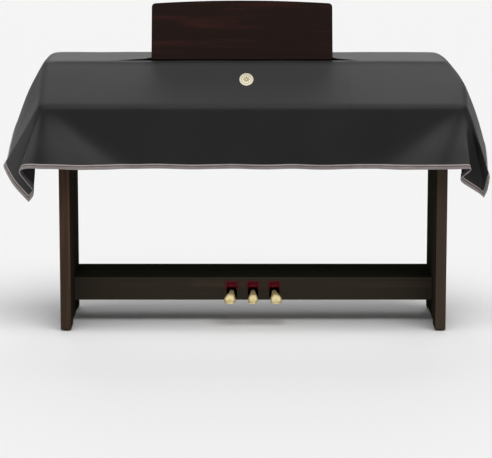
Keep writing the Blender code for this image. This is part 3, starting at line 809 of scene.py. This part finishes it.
def on_cloth(across, along):
    """The draped place and normal of a point of the flat cloth near its hem."""
    i, j = bisect(ACROSS_PLACES, across), bisect(ALONG_PLACES, along)
    s = (across - ACROSS_PLACES[i - 1]) / (ACROSS_PLACES[i] - ACROSS_PLACES[i - 1])
    t = (along - ALONG_PLACES[j - 1]) / (ALONG_PLACES[j] - ALONG_PLACES[j - 1])
    found = []
    for part in (0, 1):
        low = draped[i, j][part].lerp(draped[i + 1, j][part], s)
        high = draped[i, j + 1][part].lerp(draped[i + 1, j + 1][part], s)
        found.append(low.lerp(high, t))
    return found[0], found[1].normalized()


def stitch_matrix(start, end, radius):
    """Stretches a unit sphere from a flat point to another, on the outer face of the tape."""
    (a, normal_a), (b, normal_b) = on_cloth(*start), on_cloth(*end)
    normal = (normal_a + normal_b).normalized()
    along = (b - a).normalized()
    across = normal.cross(along).normalized()
    middle = (a + b) / 2 + normal * (CLOTH / 2 + TAPE_PROUD + radius * 0.3)
    turned = Matrix((across, along.cross(across), along)).transposed().to_4x4()
    stretched = Matrix.Diagonal((radius, radius, (b - a).length / 2 + radius * 0.5, 1))
    return Matrix.Translation(middle) @ turned @ stretched


print("the thread is", 2000 * THREAD, "mm thick")

# %% [markdown]
# ## Rows of stitches
# Thousands of stitches have the same few faces, so one ball is made by its operator and every
# stitch's matrix copies its points into one mesh. Each row runs round at its own distance from the
# hem, in whole stitches along each side.

# %% Rows of stitches
STITCH_PITCH = 0.0068
STITCH_LENGTH = 0.0056
THREAD_ROWS = (0.0022, 0.0072, 0.0133)  # from the hem


def copies(name, matrices, u_segments=6, v_segments=4):
    """One low sphere made by its operator and repeated at every matrix, as one mesh."""
    ball = bmesh.new()
    bmesh.ops.create_uvsphere(ball, u_segments=u_segments, v_segments=v_segments, radius=1)
    ball.verts.index_update()
    points = [vert.co.copy() for vert in ball.verts]
    faces = [[vert.index for vert in face.verts] for face in ball.faces]
    ball.free()
    mesh = bpy.data.meshes.new(name)
    mesh.from_pydata(
        [matrix @ point for matrix in matrices for point in points],
        [],
        [[i + k * len(points) for i in face] for k in range(len(matrices)) for face in faces],
    )
    piece = bpy.data.objects.new(name, mesh)
    bpy.context.scene.collection.objects.link(piece)
    mesh.shade_smooth()
    return piece


stitches = []
for inset in THREAD_ROWS:
    corners = [Vector(corner) for corner in flat_corners(inset)]
    for first, last in zip(corners, corners[1:] + corners[:1]):
        run = last - first
        count = round(run.length / STITCH_PITCH)
        inward = Vector((-run.y, run.x)).normalized() * (THREAD_ROWS[1] - THREAD_ROWS[0])
        for k in range(count):
            start = first + run * (k / count)
            end = start + run / count * (STITCH_LENGTH / STITCH_PITCH)
            stitches.append(stitch_matrix(start, end, THREAD))
            if inset == THREAD_ROWS[0]:
                stitches.append(stitch_matrix(start, start + inward, THREAD * 0.8))
thread_work = copies("cover_stitches", stitches)
print("stitch faces:", len(thread_work.data.polygons))

# %% [markdown]
# ## Weave and colour
# A plain weave is two sets of bands multiplied together. The bands are laid out by the UV map, in
# the flat cloth's own metres, so that the weave keeps its size round every fold. Two more helpers
# mix colours and run from one tone to another.

# %% Recipes for weave and colour
WAVE_SCALE = 0.31  # of a wave node whose bands are one metre apart


def weave_height(material, pitch):
    """A plain weave of that pitch in the flat cloth's own metres, as a height from 0 to 1."""
    place = add_node(material, "UVMap", {"uv_map": "flat"})
    both = add_node(material, "Math", {"operation": "MULTIPLY"})
    for axis, socket in zip(("X", "Y"), both.inputs):
        bands = {"wave_type": "BANDS", "bands_direction": axis}
        wave = add_node(material, "TexWave", bands, Scale=WAVE_SCALE / pitch, Distortion=0.6)
        join(place.outputs["UV"], wave.inputs["Vector"])
        join(wave.outputs["Fac"], socket)
    return both.outputs["Value"], place.outputs["UV"]


def mixed(material, blend, *given):
    """Two colours mixed by a share: each is another node's output, or a fixed value."""
    mix = add_node(material, "MixRGB", {"blend_type": blend})
    for value, socket in zip(given, mix.inputs):
        if isinstance(value, bpy.types.NodeSocket):
            join(value, socket)
        else:
            socket.default_value = value
    return mix.outputs["Color"]


def two_tone(material, factor, dark, light):
    """A ramp from a darker to a lighter colour over the middle of a noise."""
    return colour_ramp(material, factor, ((0.3, dark), (0.7, light)))


print("weave, mix and two tones ready")

# %% [markdown]
# ## Cloth finish
# The cover is a close charcoal cloth with a short pile: nearly black seen straight on and paler at
# a glancing angle, which a little sheen over a soft gloss gives. A fine plain weave in flat cloth
# metres, with fibres over it, gives the bump. Slow noise shifts the colour, and the attribute made
# while draping mixes in a paler colour, which is painted light on the corners and the slope.

# %% Cloth material
CLOTH_PITCH = 0.0016  # of the weave


def woven_cloth(name, dark, light, painted_light_colour, roughness, **values):
    """A cloth that wanders from dark to light, with a third, paler colour mixed in as painted light.
    """
    material, shader = surface(name, **values)
    weave, place = weave_height(material, CLOTH_PITCH)
    slow = add_node(material, "TexNoise", Scale=6.0, Detail=4.0)
    fibres = add_node(material, "TexNoise", Scale=420.0, Detail=2.0)
    for texture in (slow, fibres):
        join(place, texture.inputs["Vector"])
    painted_light_share = add_node(material, "Attribute", {"attribute_name": "painted_light"}).outputs["Fac"]
    unpainted_colour = two_tone(material, slow.outputs["Fac"], dark, light)
    # painted light: the paler colour is mixed in by the share stored while draping
    colour = mixed(material, "MIX", painted_light_share, unpainted_colour, (*painted_light_colour, 1))
    threads = colour_ramp(material, weave, ((0.0, (0.62,) * 3), (0.6, (1.12,) * 3)))
    colour = mixed(material, "MULTIPLY", 0.4, colour, threads)
    gloss = value_range(material, fibres.outputs["Fac"], *roughness, 0.3, 0.7)
    coat(shader, colour, gloss)
    add_bump(material, shader, weave, 0.25, 0.0004)
    add_bump(material, shader, fibres.outputs["Fac"], 0.20, 0.0006)
    return material


charcoal = woven_cloth(
    "charcoal cloth",
    (0.0070, 0.0069, 0.0069),
    (0.0106, 0.0104, 0.0104),
    # the paler colour of the painted light on the corners and the slope
    (0.045, 0.0440, 0.0447),
    (0.50, 0.62),
    Sheen_Weight=0.08,
    Sheen_Roughness=0.4,
    Specular_IOR_Level=0.25,
)
lining = woven_cloth(
    "dark lining",
    (0.0080, 0.0082, 0.0100),
    (0.0120, 0.0122, 0.0145),
    (0.0120, 0.0122, 0.0145),
    (0.60, 0.75),
    Specular_IOR_Level=0.2,
)
dress(cover, charcoal)
cover.data.materials.append(lining)
print("cloth finishes:", charcoal.name, "and", lining.name)

# %% [markdown]
# ## Tape
# The tape is a dusty pink grey, with a dark stripe between its middle and upper rows of thread and
# a dark line along its inner border. Its inner face is dark, apart from a pale line at the hem and a
# faint one further in. The stripes are a colour ramp over the distance from the hem, which was
# stored while draping.

# %% Tape materials
TAPE_PITCH = 0.0012
TAPE_OUTSIDE = (
    # share of the width from the hem, colour
    (0.00, (0.30, 0.265, 0.255)),
    (0.10, (0.34, 0.300, 0.290)),
    (0.20, (0.26, 0.225, 0.215)),
    (0.44, (0.27, 0.235, 0.225)),
    (0.52, (0.11, 0.088, 0.082)),
    (0.70, (0.12, 0.096, 0.090)),
    (0.77, (0.36, 0.320, 0.310)),
    (0.94, (0.38, 0.340, 0.330)),
    (1.00, (0.16, 0.135, 0.130)),
)
TAPE_INSIDE = (
    (0.00, (0.34, 0.31, 0.30)),
    (0.12, (0.30, 0.27, 0.26)),
    (0.20, (0.05, 0.045, 0.045)),
    (0.60, (0.035, 0.033, 0.034)),
    (0.66, (0.10, 0.09, 0.09)),
    (0.74, (0.035, 0.033, 0.034)),
    (1.00, (0.030, 0.029, 0.030)),
)


def tape(name, stops):
    """A woven tape with these stripes from the hem inward."""
    material, shader = surface(name, Sheen_Weight=0.15, Sheen_Roughness=0.4, Specular_IOR_Level=0.3)
    inward = add_node(material, "Attribute", {"attribute_name": "from_hem"}).outputs["Fac"]
    stripes = colour_ramp(material, value_range(material, inward, 0.0, 1.0, 0.0, HEM), stops)
    weave, place = weave_height(material, TAPE_PITCH)
    noise_node = add_node(material, "TexNoise", Scale=30.0, Detail=4.0)
    join(place, noise_node.inputs["Vector"])
    wear = noise_node.outputs["Fac"]
    shade = two_tone(material, wear, (0.78,) * 3, (1.1,) * 3)
    colour = mixed(material, "MULTIPLY", 1.0, stripes, shade)
    coat(shader, colour, value_range(material, wear, 0.55, 0.72))
    add_bump(material, shader, weave, 0.4, 0.0004)
    return material


dress(binding, tape("tape outside", TAPE_OUTSIDE))
binding.data.materials.append(tape("tape inside", TAPE_INSIDE))
print("tape stripes:", len(TAPE_OUTSIDE), "outside,", len(TAPE_INSIDE), "inside")

# %% [markdown]
# ## Thread
# The thread is paler than the tape. Its fuzz is noise in the object's own coordinates, because a
# stitch is too small to need a UV map.

# %% Thread material


def object_noise(material, **inputs):
    """A noise that stays fixed to its piece, because it reads Object coordinates."""
    texture = add_node(material, "TexNoise", **inputs)
    join(add_node(material, "TexCoord").outputs["Object"], texture.inputs["Vector"])
    return texture.outputs["Fac"]


def thread(name, dark, light):
    """Sewing thread, with a fine fuzz."""
    material, shader = surface(name, Specular_IOR_Level=0.4, Sheen_Weight=0.1)
    fuzz = object_noise(material, Scale=900.0, Detail=2.0)
    colour = two_tone(material, fuzz, dark, light)
    coat(shader, colour, value_range(material, fuzz, 0.45, 0.65))
    add_bump(material, shader, fuzz, 0.4, 0.0003)
    return material


dress(thread_work, thread("pale thread", (0.40, 0.36, 0.35), (0.56, 0.52, 0.51)))
print("thread on", thread_work.name)

# %% [markdown]
# ## Badge
# An oval woven patch is sewn to the slope, and looks round from the front. It carries a plain ring
# and an eight-petalled rosette. The disc is a circle whose rim is inset and lifted like a coin's,
# and the ring and petals are raised thread on it. All is made flat and round, then stretched along
# the slope and turned to lie on it.

# %% Badge
BADGE_PROUD = 0.0006  # over the cloth, and the disc's own thickness
BADGE_LENGTH = 1.58  # along the slope, as a share of its width
BADGE_RINGS = (
    # inward, up: the coin's rim rises, runs level and steps down to the field
    (0.0006, 0.0008),
    (0.0016, 0.0),
    (0.0004, -0.0004),
)
RING_STITCHES, RING_RADIUS = 60, 0.0158
PETALS, PETAL_MIDDLE = 8, 0.0068
badge_low, badge_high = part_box("badge")
BADGE_RADIUS = (badge_high.x - badge_low.x) / 2
lying = Matrix.Rotation(atan2(SLOPE_FALL, SLOPE_RUN), 4, "X")
stretched = Matrix.Diagonal((1, BADGE_LENGTH, 1, 1))
badge_place = Matrix.Translation((badge_low + badge_high) / 2) @ lying @ stretched

disc = bmesh.new()
bmesh.ops.create_circle(disc, cap_ends=True, segments=64, radius=BADGE_RADIUS)
top = disc.faces[:]
for inset, lift in BADGE_RINGS:
    bmesh.ops.inset_region(disc, faces=top, thickness=inset, depth=0, use_even_offset=True)
    bmesh.ops.translate(disc, vec=(0, 0, lift), verts=list({v for f in top for v in f.verts}))
bmesh.ops.translate(disc, vec=(0, 0, BADGE_PROUD), verts=disc.verts)
bmesh.ops.solidify(disc, geom=disc.faces[:], thickness=BADGE_PROUD)
bmesh.ops.transform(disc, matrix=badge_place, verts=disc.verts)
badge = object_from("badge_patch", disc)
badge.data.shade_smooth()


def spoke(share, radius):
    """A place on the badge, this share of a turn round and this far from its middle."""
    turned = badge_place @ Matrix.Rotation(2 * pi * share, 4, "Z")
    return turned @ Matrix.Translation((radius, 0, 2 * BADGE_PROUD))


ring_stitch = Matrix.Rotation(0.5, 4, "Z") @ Matrix.Diagonal((0.00045, 0.0011, 0.00045, 1))
petal = Matrix.Diagonal((0.0046, 0.0017, 0.0007, 1))
motif = [spoke(k / RING_STITCHES, RING_RADIUS) @ ring_stitch for k in range(RING_STITCHES)]
motif += [spoke(k / PETALS, PETAL_MIDDLE) @ petal for k in range(PETALS)]
rosette = copies("badge_rosette", motif, 10, 6)
dress(badge, thread("cream satin", (0.92, 0.84, 0.58), (0.98, 0.93, 0.76)))
dress(rosette, thread("old gold thread", (0.20, 0.15, 0.06), (0.32, 0.25, 0.11)))
print("badge:", round(2 * BADGE_RADIUS, 4), "by", round(2 * BADGE_RADIUS * BADGE_LENGTH, 4))

# %% [markdown]
# ## Wood
# The piano is dark stained wood, almost black, with a little red in its streaks. The grain is noise
# stretched along each board, so one recipe serves them all, with the long direction upright in the
# side panels and across in the others. Some faces get a copy of the wood with painted light or shade
# instead of a stain of their own: painted light, paler and redder, on the panels' front faces, more
# so on the right, and painted shade, darker, on the box's top and on the panels' other faces. Such a
# face is found by the way it looks, and gets its own slot.

# %% Wood material
GRAINS = {"across": (0.8, 22.0, 22.0), "upright": (22.0, 22.0, 0.8)}


def stained_wood(name, scale, dark, light, gloss):
    """A dark wood whose grain is stretched by this scale."""
    material, shader = surface(name, Specular_IOR_Level=gloss)
    stretch = add_node(material, "Mapping", Scale=scale)
    join(add_node(material, "TexCoord").outputs["Object"], stretch.inputs["Vector"])
    streaks = add_node(material, "TexNoise", Scale=1.6, Detail=6.0, Roughness=0.6, Distortion=0.4)
    pores = add_node(material, "TexNoise", Scale=14.0, Detail=3.0, Roughness=0.7)
    for texture in (streaks, pores):
        join(stretch.outputs["Vector"], texture.inputs["Vector"])
    colour = colour_ramp(material, streaks.outputs["Fac"], ((0.50, dark), (0.66, light)))
    coat(shader, colour, value_range(material, pores.outputs["Fac"], 0.62, 0.78))
    add_bump(material, shader, pores.outputs["Fac"], 0.15, 0.0004)
    return material


WOODS = {
    # boards: grain, darker and lighter colour, gloss
    "board": ("across", (0.0360, 0.0290, 0.0210), (0.0520, 0.0400, 0.0300), 0.02),
    # painted shade: a darker copy of the board wood for the pedal box's top
    "box_top_painted_shade": ("across", (0.0110, 0.0115, 0.0080), (0.0150, 0.0150, 0.0108), 0.0),
    "rest": ("across", (0.0180, 0.0108, 0.0090), (0.0480, 0.0150, 0.0135), 0.02),
    # painted shade: a darker copy for the side panels, apart from their front faces
    "panel": ("upright", (0.0210, 0.0195, 0.0140), (0.0360, 0.0260, 0.0190), 0.0),
    # painted light: paler, redder copies for the panels' front faces, paler on the right
    "left_edge_painted_light": ("upright", (0.0450, 0.0310, 0.0205), (0.0900, 0.0460, 0.0310), 0.02),
    "right_edge_painted_light": ("upright", (0.0560, 0.0400, 0.0300), (0.1000, 0.0580, 0.0420), 0.02),
}
wood = {
    name: stained_wood(f"{name} wood", GRAINS[grain], dark, light, gloss)
    for name, (grain, dark, light, gloss) in WOODS.items()
}
FACING = 0.7  # how nearly a face looks that way
BOARDS = {
    # node: its wood, then the direction of the faces with another wood, and that wood, a copy with
    # painted light or painted shade
    "case": ("board", None, None),
    "pedal_box": ("board", (0, 0, 1), "box_top_painted_shade"),
    "rest_rail": ("board", None, None),
    "music_rest": ("rest", None, None),
    "side_panel_left": ("panel", (0, -1, 0), "left_edge_painted_light"),
    "side_panel_right": ("panel", (0, -1, 0), "right_edge_painted_light"),
}
for node, (kind, direction, other) in BOARDS.items():
    nodes[node].material_slots[0].material = wood[kind]
    if direction:
        mesh = nodes[node].data
        mesh.materials.append(wood[other])
        # painted light or shade: faces that look this way get the lit or shaded copy of the wood
        for polygon in mesh.polygons:
            if polygon.normal.dot(Vector(direction)) > FACING:
                polygon.material_index = len(mesh.materials) - 1
print("wood on", sorted(BOARDS))

# %% [markdown]
# ## Pedals
# Each pedal is a cast brass lever. The CAD solid already has its outline in flat facets, so a copy
# of it is merged, its triangles are paired into quads and a subdivision surface rounds it. It rides
# on the pedal's own body, so it still turns on its hinge.

# %% Pedals
SIDES = ("left", "middle", "right")
FLAT, SQUARE = radians(25), radians(60)  # how far a quad may be from flat and from square
brass, brass_shader = surface("polished brass", Metallic=0.6)
wear = object_noise(brass, Scale=60.0, Detail=4.0)
brass_colour = two_tone(brass, wear, (0.80, 0.64, 0.28), (0.95, 0.82, 0.46))
coat(brass_shader, brass_colour, value_range(brass, wear, 0.22, 0.40))

for side in SIDES:
    node = f"pedal_{side}"
    lever = bmesh.new()
    lever.from_mesh(nodes[node].data)
    bmesh.ops.remove_doubles(lever, verts=lever.verts, dist=1e-5)
    bmesh.ops.join_triangles(
        lever, faces=lever.faces, angle_face_threshold=FLAT, angle_shape_threshold=SQUARE
    )
    pedal = object_from(f"{node}_brass", lever)
    rounding = pedal.modifiers.new("rounded casting", "SUBSURF")
    rounding.levels = rounding.render_levels = 2
    pedal.data.shade_smooth()
    dress(pedal, brass)
    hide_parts(node)
    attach(pedal, node)
    print(node, "rides on its own body,", len(pedal.data.polygons), "faces before rounding")

# %% [markdown]
# ## Felt finish
# Each pedal comes out of a pocket that is lined with dark red felt, so that it moves without noise.
# Fine noise makes its fibres. Where it is rubbed it has gone dull, and an attribute says where.

# %% Felt material
felt_material, felt_shader = surface("maroon felt", Specular_IOR_Level=0.1, Sheen_Weight=0.1)
fibres = object_noise(felt_material, Scale=260.0, Detail=5.0)
fresh = two_tone(felt_material, fibres, (0.065, 0.002, 0.005), (0.12, 0.004, 0.009))
worn = two_tone(felt_material, fibres, (0.040, 0.020, 0.018), (0.055, 0.024, 0.022))
bright = add_node(felt_material, "Attribute", {"attribute_name": "bright"}).outputs["Fac"]
felt_colour = mixed(felt_material, "MIX", bright, worn, fresh)
coat(felt_shader, felt_colour, value_range(felt_material, fibres, 0.8, 0.95))
add_bump(felt_material, felt_shader, fibres, 0.5, 0.0008)
print("felt finish:", felt_material.name)

# %% [markdown]
# ## Felt round the pedals
# A collar shows round the top of each opening, and a lip hangs inside. The collar starts as one
# face with the opening's outline and is extruded. The lip, the roof and the back are thin slabs,
# and a bevel softens every edge.

# %% Felt collars and linings
POCKET_WIDTH = 0.034
POCKET_TOP, POCKET_FLOOR = 0.134, 0.0815
POCKET_BACK = MIDDLE.y + 0.060
FELT = 0.0014
COLLAR = 0.0065  # width beside and above the opening
COLLAR_FOOT = 0.108
LIP = 0.018  # how far the felt hangs down inside the opening
LIP_FRONT, LIP_BACK = 0.002, 0.006  # behind the box's face
joints = {joint["name"]: joint for joint in frame["record"]["behaviour"]["joints"]}
box_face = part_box("pedal_box")[0].y


def felt_for(side):
    """The collar and lining of one pocket, at its pedal's hinge."""
    middle = joints[f"pedal_{side}_hinge"]["pos_m"][0]
    half = POCKET_WIDTH / 2
    x0, z0 = half + COLLAR, POCKET_TOP + COLLAR  # outside
    x1, z1 = half - FELT, POCKET_TOP - FELT  # at the opening
    outline = (-x0, COLLAR_FOOT), (-x0, z0), (x0, z0), (x0, COLLAR_FOOT)
    outline += (x1, COLLAR_FOOT), (x1, z1), (-x1, z1), (-x1, COLLAR_FOOT)
    bm = bmesh.new()
    bm.faces.new([bm.verts.new((middle + x, box_face, z)) for x, z in outline])
    made = bmesh.ops.extrude_face_region(bm, geom=bm.faces[:])
    moved = [item for item in made["geom"] if isinstance(item, bmesh.types.BMVert)]
    bmesh.ops.translate(bm, vec=(0, -FELT, 0), verts=moved)
    for front, back, low, high in (
        # the lip, the roof and the back
        (box_face + LIP_FRONT, box_face + LIP_BACK, POCKET_TOP - LIP, z1),
        (box_face, POCKET_BACK, z1, POCKET_TOP - HAIR),
        (POCKET_BACK - FELT, POCKET_BACK - HAIR, POCKET_FLOOR, z1),
    ):
        size = Matrix.Diagonal((POCKET_WIDTH - 2 * HAIR, back - front, high - low, 1))
        centre = Matrix.Translation((middle, (front + back) / 2, (low + high) / 2))
        bmesh.ops.create_cube(bm, size=1, matrix=centre @ size)
    bmesh.ops.recalc_face_normals(bm, faces=bm.faces)
    bright = bm.verts.layers.float.new("bright")
    for vert in bm.verts:
        outer = abs(vert.co.x - middle) > half + COLLAR / 2 or vert.co.z > POCKET_TOP + COLLAR / 2
        vert[bright] = 0.0 if outer else 1.0
    felt = object_from(f"pocket_felt_{side}", bm)
    edge = felt.modifiers.new("soft edge", "BEVEL")
    edge.width = 0.0004
    edge.segments = 2
    dress(felt, felt_material)
    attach(felt, "piano")
    return felt


felts = [felt_for(side) for side in SIDES]
print("felts:", [felt.name for felt in felts])

# %% [markdown]
# ## Glides
# Under each foot is a small rubber glide. The CAD disc is right as it is, so it only gets a finish.

# %% Glides
rubber, rubber_shader = surface("black rubber", Specular_IOR_Level=0.3)
grain = object_noise(rubber, Scale=300.0, Detail=3.0)
rubber_colour = two_tone(rubber, grain, (0.010,) * 3, (0.022, 0.021, 0.020))
coat(rubber_shader, rubber_colour, value_range(rubber, grain, 0.6, 0.85))
add_bump(rubber, rubber_shader, grain, 0.3, 0.0003)
glides = [node for node in sorted(nodes) if node.startswith("glide_")]
for node in glides:
    nodes[node].material_slots[0].material = rubber
print("rubber on", glides)

# %% [markdown]
# ## Finish
# Every piece rides on a body, and the CAD cover and badge that the pieces replace are hidden.

# %% Ride and finish
for piece, slot in (
    (cover, "cover_cloth"),
    (binding, "cover_cloth"),
    (thread_work, "badge_thread"),
    (badge, "badge_thread"),
    (rosette, "badge_thread"),
):
    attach(piece, "piano")
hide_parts("dust_cover")
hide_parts("badge")
